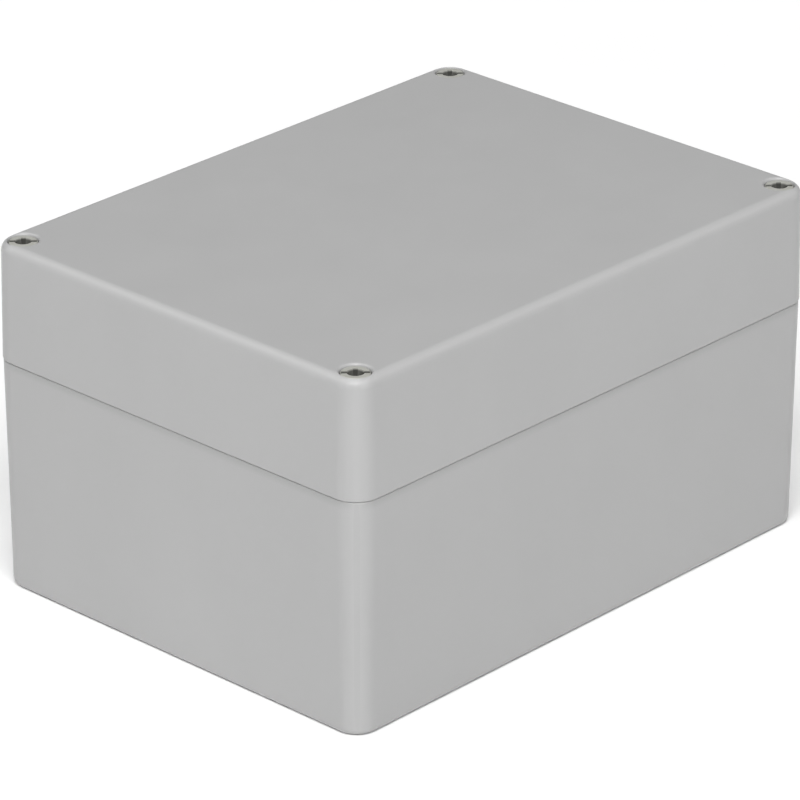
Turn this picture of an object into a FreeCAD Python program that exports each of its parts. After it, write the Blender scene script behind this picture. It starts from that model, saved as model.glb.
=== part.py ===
import FreeCAD, Part
import math
import os

import Sketcher

# Moulded two-part instrument enclosure with a deep lid, held down by captive corner screws.
# Frame: X along the long side, Y along the short side, Z up, origin in the middle of the underside.

SIZES = {
    # Outside
    "length": 160.0,
    "width": 120.0,
    "base_height": 60.0,
    "lid_height": 30.0,
    "base_setback": 0.15,
    "corner_radius": 6.7,
    "lid_draft": 0.93,
    "base_draft": 0.64,
    "top_round": 2.5,
    "bottom_round": 1.7,
    "lid_seam_round": 0.3,
    "base_seam_round": 0.5,
    # Walls
    "wall": 4.0,
    "floor_thickness": 3.5,
    "roof_thickness": 3.5,
    "inner_round": 1.2,
    # Tongue, groove and seal
    "lip": 1.1,
    "groove_width": 1.8,
    "tongue_clearance": 0.3,
    "tongue_height": 3.0,
    "tongue_chamfer": 0.3,
    "gasket_thickness": 1.6,
    "gasket_side_gap": 0.1,
    # Corner blocks, which stay outside the seal
    "block_length": 23.0,
    "block_width": 11.8,
    "seal_corner_radius": 5.0,
    "block_corner_radius": 3.5,
    # Lid screws
    "screw_inset": 6.0,
    "screw_diameter": 4.0,
    "thread_engagement": 7.8,
    "screw_pitch": 0.7,
    "undo_turns": 12.0,
    "tip_chamfer": 0.6,
    "head_diameter": 7.0,
    "head_height": 2.6,
    "head_round": 0.35,
    "head_depth": 0.4,
    "head_clearance": 0.15,
    "mouth_round": 0.8,
    "screw_clearance": 0.25,
    "slot_angle": -45.0,
    "slot_width": 1.2,
    "slot_depth": 1.1,
    "cross_width": 1.3,
    "cross_span": 4.2,
    "cross_depth": 1.8,
    # Retaining rings on the screws
    "ring_section": 1.5,
    "ring_chamfer": 0.35,
    "ring_grip": 0.05,
    "ring_clearance": 0.3,
    # Threaded inserts in the base
    "insert_diameter": 5.6,
    "insert_length": 8.5,
    "insert_setback": 0.2,
    "insert_waist": 0.4,
    "insert_band": 2.6,
    "insert_chamfer": 0.3,
    "thread_clearance": 0.05,
    "core_clearance": 0.4,
    "core_floor": 8.0,
    # Wall mounting holes
    "mount_inset": 6.0,
    "mount_offset": 11.0,
    "mount_hole": 4.5,
    "mount_channel": 8.0,
    "mount_floor": 4.5,
    "lid_relief_depth": 20.0,
    # Board bosses
    "board_inset_x": 30.0,
    "board_inset_y": 22.0,
    "boss_diameter": 7.0,
    "boss_height": 6.0,
    "boss_foot_round": 0.8,
    "pilot_diameter": 2.8,
    "pilot_depth": 8.0,
    "lid_board_inset_x": 30.0,
    "lid_board_inset_y": 30.0,
    "lid_boss_height": 5.0,
}

doc = FreeCAD.newDocument("enclosure")
sheet = doc.addObject("Spreadsheet::Sheet", "sizes")
for row, (alias, size) in enumerate(SIZES.items(), start=1):
    sheet.set(f"A{row}", alias)
    sheet.set(f"B{row}", str(size))
    sheet.setAlias(f"B{row}", alias)
doc.recompute()

# Places worked out from the sheet, as expressions that every feature shares
SEAM = "sizes.base_height"
TOP = f"({SEAM} + sizes.lid_height)"
HALF_LENGTH = "(sizes.length / 2)"
HALF_WIDTH = "(sizes.width / 2)"
SCREW_X = f"({HALF_LENGTH} - sizes.screw_inset)"
SCREW_Y = f"({HALF_WIDTH} - sizes.screw_inset)"
HEAD_TOP = f"({TOP} - sizes.head_depth)"
HEAD_SEAT = f"({HEAD_TOP} - sizes.head_height)"
UNDO_LIFT = "(sizes.undo_turns * sizes.screw_pitch)"
COUNTERBORE_RADIUS = "(sizes.head_diameter / 2 + sizes.head_clearance)"
SHANK_RADIUS = "(sizes.screw_diameter / 2)"
SCREW_HOLE_RADIUS = f"({SHANK_RADIUS} + sizes.screw_clearance)"
RING_INNER = f"({SHANK_RADIUS} + sizes.ring_grip)"
RING_OUTER = f"({RING_INNER} + sizes.ring_section)"
RING_BOTTOM = f"({SEAM} + sizes.ring_clearance)"
RING_POCKET_RADIUS = f"({RING_OUTER} + sizes.ring_clearance)"
RING_POCKET_DEPTH = f"(sizes.ring_section + {UNDO_LIFT} + 2 * sizes.ring_clearance)"
INSERT_TOP = f"({SEAM} - sizes.insert_setback)"
SCREW_TIP = f"({INSERT_TOP} - sizes.thread_engagement)"
INSERT_BORE = f"({SHANK_RADIUS} + sizes.thread_clearance)"
CORE_RADIUS = f"({SHANK_RADIUS} + sizes.core_clearance)"
MOUNT_X = f"({SCREW_X} - sizes.mount_offset)"
MOUNT_Y = f"({HALF_WIDTH} - sizes.mount_inset)"
GROOVE_OUT = "sizes.lip"
GROOVE_IN = "(sizes.lip + sizes.groove_width)"
GROOVE_DEPTH = "(sizes.tongue_height + sizes.gasket_thickness)"
TONGUE_OUT = f"({GROOVE_OUT} + sizes.tongue_clearance)"
TONGUE_IN = f"({GROOVE_IN} - sizes.tongue_clearance)"
CAVITY_DEPTH = "(sizes.base_height - sizes.floor_thickness)"
LID_CAVITY_DEPTH = "(sizes.lid_height - sizes.roof_thickness)"

CORNERS = (("front_left", -1, -1), ("front_right", 1, -1), ("back_right", 1, 1), ("back_left", -1, 1))
ORIGIN_POINT = (-1, 1)
FULL_TURN = 360.0
# Lengths and volumes closer than this are taken as equal
SMALL = 1e-4


def number(expression):
    """The value of an expression over the sheet, as a plain number."""
    result = sheet.evalExpression(expression.replace("sizes.", ""))
    return float(getattr(result, "Value", result))


def signed(sign, expression):
    return expression if sign > 0 else f"-{expression}"


def new_body(name):
    body = doc.addObject("PartDesign::Body", name)
    body.Label = name
    return body


def new_sketch(body, name, role="XY_Plane", height=None):
    """A sketch on one of the body's own origin planes, lifted along its normal by an expression."""
    sketch = body.newObject("Sketcher::SketchObject", name)
    plane = next(f for f in body.Origin.OriginFeatures if f.Role == role)
    sketch.AttachmentSupport = [(plane, "")]
    sketch.MapMode = "FlatFace"
    if height:
        sketch.setExpression("AttachmentOffset.Base.z", height)
    return sketch


def bind(sketch, kind, places, expression):
    """Add one dimension whose value is an expression; a negative one is stated the other way round."""
    size = number(expression)
    if size < 0:
        places = places[2:] + places[:2]
        expression = f"-{expression}"
        size = -size
    index = sketch.addConstraint(Sketcher.Constraint(kind, *places, size))
    sketch.setExpression(f"Constraints[{index}]", expression)


def draw_circle(sketch, x, y, radius):
    centre = FreeCAD.Vector(number(x), number(y), 0)
    index = sketch.addGeometry(Part.Circle(centre, FreeCAD.Vector(0, 0, 1), number(radius)), False)
    for kind, expression in (("DistanceX", x), ("DistanceY", y)):
        if abs(number(expression)) > SMALL:
            bind(sketch, kind, (*ORIGIN_POINT, index, 3), expression)
        else:
            axis = -2 if kind == "DistanceX" else -1
            sketch.addConstraint(Sketcher.Constraint("PointOnObject", index, 3, axis))
    constraint = sketch.addConstraint(Sketcher.Constraint("Radius", index, number(radius)))
    sketch.setExpression(f"Constraints[{constraint}]", radius)


def draw_outline(sketch, corners):
    """A closed outline of level and upright lines with round corners.

    Each corner is (x, y, radius), all three expressions; a radius of None leaves it sharp.
    """
    points = [FreeCAD.Vector(number(x), number(y), 0) for x, y, _ in corners]
    count = len(corners)
    starts, ends = [], []
    for index, (_, _, radius) in enumerate(corners):
        before = (points[index - 1] - points[index]).normalize()
        after = (points[(index + 1) % count] - points[index]).normalize()
        trim = number(radius) if radius else 0.0
        starts.append(points[index] + before * trim)
        ends.append(points[index] + after * trim)
    lines = []
    for index in range(count):
        start, end = ends[index], starts[(index + 1) % count]
        line = sketch.addGeometry(Part.LineSegment(start, end), False)
        lines.append(line)
        level = abs(start.y - end.y) < SMALL
        sketch.addConstraint(Sketcher.Constraint("Horizontal" if level else "Vertical", line))
        x, y, _ = corners[index]
        kind, expression = ("DistanceY", y) if level else ("DistanceX", x)
        if abs(number(expression)) > SMALL:
            bind(sketch, kind, (*ORIGIN_POINT, line, 1), expression)
        else:
            sketch.addConstraint(Sketcher.Constraint("PointOnObject", line, 1, -1 if level else -2))
    for index, (_, _, radius) in enumerate(corners):
        before, after = lines[index - 1], lines[index]
        if not radius:
            sketch.addConstraint(Sketcher.Constraint("Coincident", before, 2, after, 1))
            continue
        size = number(radius)
        centre = starts[index] + ends[index] - points[index]
        turn = (points[index] - starts[index]).cross(ends[index] - points[index]).z
        first, last = (starts[index], ends[index]) if turn > 0 else (ends[index], starts[index])
        angles = [math.atan2(p.y - centre.y, p.x - centre.x) for p in (first, last)]
        circle = Part.Circle(centre, FreeCAD.Vector(0, 0, 1), size)
        arc = sketch.addGeometry(Part.ArcOfCircle(circle, *angles), False)
        joined = ((before, 2, arc, 1), (arc, 2, after, 1))
        if turn < 0:
            joined = ((before, 2, arc, 2), (arc, 1, after, 1))
        for places in joined:
            sketch.addConstraint(Sketcher.Constraint("Tangent", *places))
        constraint = sketch.addConstraint(Sketcher.Constraint("Radius", arc, size))
        sketch.setExpression(f"Constraints[{constraint}]", radius)


def draw_box(sketch, half_x, half_y, radius=None):
    """A rectangle about the origin, with round corners if a radius is given."""
    signs = ((1, -1), (1, 1), (-1, 1), (-1, -1))
    draw_outline(sketch, [(signed(a, half_x), signed(b, half_y), radius) for a, b in signs])


def draw_seal_loop(sketch, inset):
    """The line that the seal follows: along the walls, and inwards round each corner block."""
    extra = f"({inset} - sizes.lip)"
    x_wall = f"({HALF_LENGTH} - {inset})"
    y_wall = f"({HALF_WIDTH} - {inset})"
    x_block = f"({HALF_LENGTH} - sizes.block_length - {extra})"
    y_block = f"({HALF_WIDTH} - sizes.block_width - {extra})"
    hollow = f"(sizes.seal_corner_radius - {extra})"
    bulge = f"(sizes.block_corner_radius + {extra})"
    quarter = [(x_wall, y_block, hollow), (x_block, y_block, bulge), (x_block, y_wall, hollow)]
    corners = []
    for sign_x, sign_y in ((1, 1), (-1, 1), (-1, -1), (1, -1)):
        run = quarter if sign_x * sign_y > 0 else quarter[::-1]
        corners += [(signed(sign_x, x), signed(sign_y, y), radius) for x, y, radius in run]
    draw_outline(sketch, corners)


def draw_four(sketch, x, y, radius):
    """The same circle in all four corners."""
    for sign_x in (1, -1):
        for sign_y in (1, -1):
            draw_circle(sketch, signed(sign_x, x), signed(sign_y, y), radius)


def add_feature(body, kind, name, sketch, **expressions):
    feature = body.newObject(f"PartDesign::{kind}", name)
    feature.Profile = sketch
    for prop, expression in expressions.items():
        feature.setExpression(prop, expression)
    sketch.Visibility = False
    return feature


def pad(body, name, sketch, height, down=False):
    feature = add_feature(body, "Pad", name, sketch, Length=height)
    feature.Reversed = down
    doc.recompute()
    return feature


def pocket(body, name, sketch, depth, up=False):
    """Cut to a depth, downwards from the sketch, or upwards; the volume has to drop."""
    before = body.Shape.Volume
    feature = add_feature(body, "Pocket", name, sketch, Length=depth)
    feature.Reversed = up
    doc.recompute()
    if not feature.Shape.Volume < before - SMALL:
        raise RuntimeError(f"{body.Label}: {name} cuts nothing")
    return feature


def named(shape, kind, test):
    """The sub-element names of the faces or edges that pass a test."""
    items = shape.Faces if kind == "Face" else shape.Edges
    return [f"{kind}{index}" for index, item in enumerate(items, start=1) if test(item)]


def is_upright(face):
    """Whether a plane or cylinder stands along Z."""
    surface = face.Surface
    if isinstance(surface, Part.Plane):
        return abs(surface.Axis.z) < SMALL
    return isinstance(surface, Part.Cylinder) and abs(surface.Axis.z) > 1 - SMALL


def flat_at(z):
    def test(face):
        box = face.BoundBox
        return isinstance(face.Surface, Part.Plane) and box.ZLength < SMALL and abs(box.ZMin - z) < SMALL
    return test


def edge_at(z, test=lambda edge: True):
    """A test for edges that lie level at one height."""
    return lambda edge: all(abs(vertex.Z - z) < SMALL for vertex in edge.Vertexes) and test(edge)


def add_draft(body, name, faces, plane_height, angle, flip):
    """Lean upright faces about a level plane, for release from the mould."""
    base = body.Tip
    feature = body.newObject("PartDesign::Draft", name)
    feature.Base = (base, faces)
    neutral = named(base.Shape, "Face", flat_at(plane_height))
    feature.NeutralPlane = (base, [neutral[0]])
    feature.setExpression("Angle", angle)
    feature.Reversed = flip
    doc.recompute()
    return feature


def add_fillet(body, name, edges, radius):
    base = body.Tip
    feature = body.newObject("PartDesign::Fillet", name)
    feature.Base = (base, edges)
    feature.setExpression("Radius", radius)
    doc.recompute()
    return feature


def add_chamfer(body, name, edges, size):
    base = body.Tip
    feature = body.newObject("PartDesign::Chamfer", name)
    feature.Base = (base, edges)
    feature.setExpression("Size", size)
    doc.recompute()
    return feature


def level_edges(body, z):
    return named(body.Shape, "Edge", edge_at(z))


def drafted_block(body, name, half_x, half_y, corner, height, draft, down):
    """The outside of a moulding: a block that starts at the seam and narrows away from it."""
    outline = new_sketch(body, f"{name}_outline", height=SEAM)
    draw_box(outline, half_x, half_y, corner)
    pad(body, f"{name}_block", outline, height, down=down)
    add_draft(body, f"{name}_lean", named(body.Shape, "Face", is_upright), number(SEAM), draft, down)


def drafted_cavity(body, name, depth, draft, up):
    """The inside of a moulding, which narrows away from the seam as its outside does."""
    outline = new_sketch(body, f"{name}_cavity_outline", height=SEAM)
    draw_seal_loop(outline, "sizes.wall")
    pocket(body, f"{name}_cavity", outline, depth, up=up)
    add_draft(body, f"{name}_cavity_lean", named(body.Shape, "Face", is_upright), number(SEAM), draft, up)
    end = number(f"{SEAM} + {depth}" if up else f"{SEAM} - {depth}")
    add_fillet(body, f"{name}_cavity_round", level_edges(body, end), "sizes.inner_round")


def ring_between(body, name, height, outer_inset, inner_inset):
    """A sketch of the strip between two lines that run beside the seal."""
    sketch = new_sketch(body, name, height=height)
    draw_seal_loop(sketch, outer_inset)
    draw_seal_loop(sketch, inner_inset)
    return sketch


def four_holes(body, name, height, x, y, radius, depth, up=False):
    sketch = new_sketch(body, f"{name}_circles", height=height)
    draw_four(sketch, x, y, radius)
    return pocket(body, name, sketch, depth, up=up)


def bosses(body, name, foot, inset_x, inset_y, height, down=False):
    """Four posts for a circuit board, each with a foot round and a pilot hole for a self-tapping screw."""
    x, y = f"({HALF_LENGTH} - {inset_x})", f"({HALF_WIDTH} - {inset_y})"
    sketch = new_sketch(body, f"{name}_circles", height=foot)
    draw_four(sketch, x, y, "(sizes.boss_diameter / 2)")
    pad(body, name, sketch, height, down=down)

    def around_a_post(edge):
        if not isinstance(edge.Curve, Part.Circle):
            return False
        centre = edge.Curve.Center
        return abs(abs(centre.x) - number(x)) < SMALL and abs(abs(centre.y) - number(y)) < SMALL
    feet = named(body.Shape, "Edge", edge_at(number(foot), around_a_post))
    add_fillet(body, f"{name}_foot_round", feet, "sizes.boss_foot_round")
    end = f"({foot} - {height})" if down else f"({foot} + {height})"
    four_holes(body, f"{name}_pilots", end, x, y, "(sizes.pilot_diameter / 2)", "sizes.pilot_depth", up=down)


def build_base():
    body = new_body("base")
    half_x = f"({HALF_LENGTH} - sizes.base_setback)"
    half_y = f"({HALF_WIDTH} - sizes.base_setback)"
    corner = "(sizes.corner_radius - sizes.base_setback)"
    drafted_block(body, "base", half_x, half_y, corner, SEAM, "sizes.base_draft", down=True)
    add_fillet(body, "base_bottom_round", level_edges(body, 0.0), "sizes.bottom_round")
    add_fillet(body, "base_seam_round", level_edges(body, number(SEAM)), "sizes.base_seam_round")
    drafted_cavity(body, "base", CAVITY_DEPTH, "sizes.base_draft", up=False)

    tongue = ring_between(body, "tongue_strip", SEAM, TONGUE_OUT, TONGUE_IN)
    pad(body, "tongue", tongue, "sizes.tongue_height")
    tongue_top = number(f"{SEAM} + sizes.tongue_height")
    add_chamfer(body, "tongue_chamfer", level_edges(body, tongue_top), "sizes.tongue_chamfer")

    insert_radius = "(sizes.insert_diameter / 2)"
    insert_depth = "(sizes.insert_setback + sizes.insert_length)"
    four_holes(body, "insert_seats", SEAM, SCREW_X, SCREW_Y, insert_radius, insert_depth)
    four_holes(body, "insert_cores", SEAM, SCREW_X, SCREW_Y, CORE_RADIUS, "(sizes.base_height - sizes.core_floor)")

    mounts = new_sketch(body, "wall_mount_circles", height=SEAM)
    draw_four(mounts, MOUNT_X, MOUNT_Y, "(sizes.mount_hole / 2)")
    holes = body.newObject("PartDesign::Hole", "wall_mount_holes")
    holes.Profile = mounts
    holes.DepthType = "ThroughAll"
    holes.HoleCutType = "Counterbore"
    for prop, expression in (("Diameter", "sizes.mount_hole"), ("HoleCutDiameter", "sizes.mount_channel"),
                             ("HoleCutDepth", "sizes.base_height - sizes.mount_floor")):
        holes.setExpression(prop, expression)
    doc.recompute()

    bosses(body, "board_bosses", "sizes.floor_thickness", "sizes.board_inset_x",
           "sizes.board_inset_y", "sizes.boss_height")
    return body


def build_lid():
    body = new_body("lid")
    drafted_block(body, "lid", HALF_LENGTH, HALF_WIDTH, "sizes.corner_radius",
                  "sizes.lid_height", "sizes.lid_draft", down=False)
    add_fillet(body, "lid_top_round", level_edges(body, number(TOP)), "sizes.top_round")
    add_fillet(body, "lid_seam_round", level_edges(body, number(SEAM)), "sizes.lid_seam_round")
    drafted_cavity(body, "lid", LID_CAVITY_DEPTH, "sizes.lid_draft", up=True)
    groove = ring_between(body, "groove_strip", SEAM, GROOVE_OUT, GROOVE_IN)
    pocket(body, "groove", groove, GROOVE_DEPTH, up=True)

    four_holes(body, "ring_pockets", SEAM, SCREW_X, SCREW_Y, RING_POCKET_RADIUS, RING_POCKET_DEPTH, up=True)
    four_holes(body, "screw_holes", SEAM, SCREW_X, SCREW_Y, SCREW_HOLE_RADIUS, "sizes.lid_height", up=True)
    for name, sign_x, sign_y in CORNERS:
        mouth = new_sketch(body, f"counterbore_profile_{name}", role="XZ_Plane")
        mouth.setExpression("AttachmentOffset.Base.x", signed(sign_x, SCREW_X))
        mouth.setExpression("AttachmentOffset.Base.z", signed(-sign_y, SCREW_Y))
        flare = f"({COUNTERBORE_RADIUS} + 2 * sizes.mouth_round)"
        above = f"({TOP} + sizes.mouth_round)"
        draw_outline(mouth, [("0", HEAD_SEAT, None), (COUNTERBORE_RADIUS, HEAD_SEAT, None),
                             (COUNTERBORE_RADIUS, TOP, "sizes.mouth_round"), (flare, TOP, None),
                             (flare, above, None), ("0", above, None)])
        revolve(body, f"counterbore_{name}", mouth, cut=True)
    four_holes(body, "mount_reliefs", SEAM, MOUNT_X, MOUNT_Y, "(sizes.mount_channel / 2)",
               "sizes.lid_relief_depth", up=True)
    bosses(body, "lid_bosses", f"({TOP} - sizes.roof_thickness)", "sizes.lid_board_inset_x",
           "sizes.lid_board_inset_y", "sizes.lid_boss_height", down=True)
    return body


def revolve(body, name, sketch, cut=False):
    before = body.Shape.Volume if cut else 0.0
    feature = add_feature(body, "Groove" if cut else "Revolution", name, sketch)
    feature.ReferenceAxis = (sketch, ["V_Axis"])
    feature.Angle = FULL_TURN
    doc.recompute()
    if cut and not feature.Shape.Volume < before - SMALL:
        raise RuntimeError(f"{body.Label}: {name} cuts nothing")
    return feature


def place_at_screw(body, sign_x, sign_y):
    """Stand a piece that was made about the Z axis on one of the lid screws' axes."""
    body.setExpression("Placement.Base.x", signed(sign_x, SCREW_X))
    body.setExpression("Placement.Base.y", signed(sign_y, SCREW_Y))
    doc.recompute()


def build_gasket():
    body = new_body("gasket")
    strip = ring_between(body, "gasket_strip", f"{SEAM} + sizes.tongue_height",
                         f"({GROOVE_OUT} + sizes.gasket_side_gap)", f"({GROOVE_IN} - sizes.gasket_side_gap)")
    pad(body, "gasket_strand", strip, "sizes.gasket_thickness")
    return body


def build_screw(name):
    """A cheese-head machine screw with a cross recess in its slot."""
    body = new_body(name)
    head_radius = "(sizes.head_diameter / 2)"
    profile = new_sketch(body, f"{name}_profile", role="XZ_Plane")
    draw_outline(profile, [("0", SCREW_TIP, None), (SHANK_RADIUS, SCREW_TIP, None),
                           (SHANK_RADIUS, HEAD_SEAT, None), (head_radius, HEAD_SEAT, None),
                           (head_radius, HEAD_TOP, "sizes.head_round"), ("0", HEAD_TOP, None)])
    revolve(body, f"{name}_turning", profile)
    add_chamfer(body, f"{name}_tip", level_edges(body, number(SCREW_TIP)), "sizes.tip_chamfer")

    slot = new_sketch(body, f"{name}_slot_outline", height=HEAD_TOP)
    draw_box(slot, "sizes.head_diameter", "(sizes.slot_width / 2)")
    pocket(body, f"{name}_slot", slot, "sizes.slot_depth")

    cross = new_sketch(body, f"{name}_cross_outline", height=HEAD_TOP)
    long, short = "(sizes.cross_span / 2)", "(sizes.cross_width / 2)"
    corners = []
    for sign_x, sign_y in ((1, 1), (-1, 1), (-1, -1), (1, -1)):
        run = [(long, short), (short, short), (short, long)]
        run = run if sign_x * sign_y > 0 else run[::-1]
        corners += [(signed(sign_x, x), signed(sign_y, y), None) for x, y in run]
    draw_outline(cross, corners)
    pocket(body, f"{name}_cross", cross, "sizes.cross_depth")
    body.setExpression("Placement.Rotation.Angle", "sizes.slot_angle")
    return body


def build_insert(name):
    """A turned insert, pressed into the base, with two gripping bands and a waist between them."""
    body = new_body(name)
    outer = "(sizes.insert_diameter / 2)"
    waist = f"({outer} - sizes.insert_waist)"
    bottom = f"({INSERT_TOP} - sizes.insert_length)"
    low, high = f"({bottom} + sizes.insert_band)", f"({INSERT_TOP} - sizes.insert_band)"
    profile = new_sketch(body, f"{name}_profile", role="XZ_Plane")
    draw_outline(profile, [(INSERT_BORE, bottom, None), (outer, bottom, None), (outer, low, None),
                           (waist, low, None), (waist, high, None), (outer, high, None),
                           (outer, INSERT_TOP, None), (INSERT_BORE, INSERT_TOP, None)])
    revolve(body, f"{name}_turning", profile)
    mouth = edge_at(number(INSERT_TOP), lambda edge: edge.Curve.Radius < number(waist))
    add_chamfer(body, f"{name}_lead_in", named(body.Shape, "Edge", mouth), "sizes.insert_chamfer")
    return body


def build_ring(name):
    """A rubber ring that grips the screw below the lid and keeps it from falling out."""
    body = new_body(name)
    ring_top = f"({RING_BOTTOM} + sizes.ring_section)"
    profile = new_sketch(body, f"{name}_section", role="XZ_Plane")
    draw_outline(profile, [(RING_INNER, RING_BOTTOM, None), (RING_OUTER, RING_BOTTOM, None),
                           (RING_OUTER, ring_top, None), (RING_INNER, ring_top, None)])
    revolve(body, f"{name}_turning", profile)
    rims = level_edges(body, number(RING_BOTTOM)) + level_edges(body, number(ring_top))
    add_chamfer(body, f"{name}_rims", rims, "sizes.ring_chamfer")
    return body


parts = [build_base(), build_lid(), build_gasket()]
for corner, side_x, side_y in CORNERS:
    for builder, kind in ((build_screw, "lid_screw"), (build_insert, "insert"), (build_ring, "retaining_ring")):
        piece = builder(f"{kind}_{corner}")
        place_at_screw(piece, side_x, side_y)
        parts.append(piece)

doc.recompute()
failed = [obj.Name for obj in doc.Objects if "Invalid" in obj.State or "Error" in obj.State]
if failed:
    raise RuntimeError(f"failed objects: {failed}")
os.makedirs("parts", exist_ok=True)
for piece in parts:
    shape = piece.Shape
    if shape.isNull() or not shape.isValid() or len(shape.Solids) != 1:
        raise RuntimeError(f"{piece.Label} is not one valid solid")
for piece in parts:
    piece.Shape.exportStep(f"parts/{piece.Label}.step")
    box = piece.Shape.BoundBox
    print(f"{piece.Label}: {piece.Shape.Volume / 1000:.3f} cm3, {len(piece.Shape.Faces)} faces, "
          f"x {box.XMin:.2f} {box.XMax:.2f}, y {box.YMin:.2f} {box.YMax:.2f}, z {box.ZMin:.2f} {box.ZMax:.2f}")
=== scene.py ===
import logging
import math
from collections.abc import Callable, Iterator
from contextlib import contextmanager
from dataclasses import dataclass, field
from enum import Enum
from itertools import product

import bpy
from mathutils import Matrix, Vector


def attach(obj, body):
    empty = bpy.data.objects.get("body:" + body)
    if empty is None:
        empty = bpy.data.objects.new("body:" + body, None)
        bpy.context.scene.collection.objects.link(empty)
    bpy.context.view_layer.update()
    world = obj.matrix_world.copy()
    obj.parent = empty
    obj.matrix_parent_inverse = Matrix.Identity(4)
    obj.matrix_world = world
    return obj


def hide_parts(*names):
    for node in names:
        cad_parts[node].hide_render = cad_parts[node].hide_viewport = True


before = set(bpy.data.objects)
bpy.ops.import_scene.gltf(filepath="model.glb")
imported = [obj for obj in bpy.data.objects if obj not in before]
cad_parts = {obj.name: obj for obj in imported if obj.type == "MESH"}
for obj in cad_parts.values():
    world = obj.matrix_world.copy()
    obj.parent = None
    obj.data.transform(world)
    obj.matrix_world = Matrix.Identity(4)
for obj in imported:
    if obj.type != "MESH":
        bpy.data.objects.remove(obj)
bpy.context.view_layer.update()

# Closed instrument enclosure in a pale studio. Sizes are in millimetres and the scene is in metres.
# WELD merges doubles, and FLAT_ANGLE is the bend up to which a face counts as flat.
# FACING is the share of a normal along an axis from which a face looks that way.
# SEAM is the height of the joint, and a cutter stands OVERSHOOT clear of what it cuts.
# NOISE_RANGE is where nearly all values of a noise lie.

MM = 0.001
WELD = 0.002 * MM
NODE_WELD = WELD / 4
FLAT_ANGLE = math.radians(0.4)
FACING = 0.9
SEAM = 60.0
OVERSHOOT = 0.4
NOISE_RANGE = (0.3, 0.7)
FULL_TURN = 2 * math.pi
QUARTER_TURN = math.pi / 2
IMAGE_SIDE = 800
LOG = logging.getLogger("enclosure")

Colour = tuple[float, float, float, float]
Profile = list[tuple[float, float]]
Piece = bpy.types.Object
Socket = bpy.types.NodeSocket
Sockets = bpy.types.bpy_prop_collection
Results = dict[str, Socket]


class Corner(Enum):
    """The four corners of the box, each with its sides along X and Y."""

    FRONT_LEFT = (-1, -1)
    FRONT_RIGHT = (1, -1)
    BACK_RIGHT = (1, 1)
    BACK_LEFT = (-1, 1)

    @property
    def tag(self) -> str:
        """The corner's name in node, body and piece names."""
        return self.name.lower()


class Mode(Enum):
    """What an edit-mode selection is made of."""

    VERTS = "VERT"
    EDGES = "EDGE"
    FACES = "FACE"


class Cut(Enum):
    """How one solid changes another."""

    REMOVE = "DIFFERENCE"
    JOIN = "UNION"


def grey(value: float, warmth: float = 0.0) -> Colour:
    """Make a linear colour from the level of red and green, with a share less blue for warmth."""
    return (value, value, value * (1 - warmth), 1.0)


def scaled(colour: Colour, share: float) -> Colour:
    """Make a colour darker or lighter, up to full light."""
    return (*(min(1.0, channel * share) for channel in colour[:3]), 1.0)


def direction(azimuth: float, elevation: float) -> Vector:
    """Make a unit vector from its turn over the floor, from X, and its height, both in degrees."""
    turn, rise = math.radians(azimuth), math.radians(elevation)
    return Vector((math.cos(turn) * math.cos(rise), math.sin(turn) * math.cos(rise), math.sin(rise)))


def stand(name: str, data: bpy.types.ID, matrix: Matrix) -> Piece:
    """Put a mesh, a lamp or a camera into the scene.

    Args:
        name: The name for the object and its data.
        data: What the object shows.
        matrix: Where it stands.

    Returns:
        The new object.
    """
    made = bpy.data.objects.new(name, data)
    data.name = name
    made.matrix_world = matrix
    bpy.context.scene.collection.objects.link(made)
    return made


# Modelling


def deselect() -> None:
    """Leave nothing selected, so that an operator acts on its own object alone."""
    bpy.ops.object.select_all(action="DESELECT")


def activate(piece: Piece) -> None:
    """Make one object the only one selected, and the active one."""
    deselect()
    piece.select_set(True)
    bpy.context.view_layer.objects.active = piece


def select_all() -> None:
    """Select the whole mesh in edit mode."""
    bpy.ops.mesh.select_all(action="SELECT")


@contextmanager
def editing(piece: Piece) -> Iterator[None]:
    """Open a piece in edit mode with all of it selected, and close it again.

    Args:
        piece: The mesh object.
    """
    activate(piece)
    bpy.ops.object.mode_set(mode="EDIT")
    select_all()
    yield
    bpy.ops.object.mode_set(mode="OBJECT")


def pick(piece: Piece, mode: Mode, test: Callable[[Vector, Vector], bool]) -> None:
    """Select the faces, edges or vertices that pass a test on their place and normal.

    Args:
        piece: The object being edited.
        mode: What is selected.
        test: Takes the element's middle and its normal, or for an edge its direction.
    """
    bpy.ops.mesh.select_mode(type=mode.value)
    bpy.ops.mesh.select_all(action="DESELECT")
    bpy.ops.object.mode_set(mode="OBJECT")
    verts = piece.data.vertices
    if mode is Mode.FACES:
        for face in piece.data.polygons:
            face.select = test(face.center, face.normal)
    elif mode is Mode.EDGES:
        for edge in piece.data.edges:
            start, end = (verts[index].co for index in edge.vertices)
            edge.select = test((start + end) / 2, (end - start).normalized())
    else:
        for vert in verts:
            vert.select = test(vert.co, vert.normal)
    bpy.ops.object.mode_set(mode="EDIT")


def apply_modifier(piece: Piece, kind: str, **settings: object) -> None:
    """Add a modifier with its settings and apply it at once.

    Args:
        piece: The object.
        kind: The modifier's type.
        settings: The modifier's own values.
    """
    activate(piece)
    modifier = piece.modifiers.new(kind.lower(), kind)
    for key, value in settings.items():
        setattr(modifier, key, value)
    bpy.ops.object.modifier_apply(modifier=modifier.name)


def discard(piece: Piece) -> None:
    """Delete a piece together with its mesh."""
    bpy.data.meshes.remove(piece.data)


def combine(piece: Piece, other: Piece, cut: Cut = Cut.REMOVE) -> None:
    """Join a second solid to a piece or cut it away, and delete the second one."""
    apply_modifier(piece, "BOOLEAN", object=other, operation=cut.value, solver="EXACT")
    discard(other)


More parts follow.
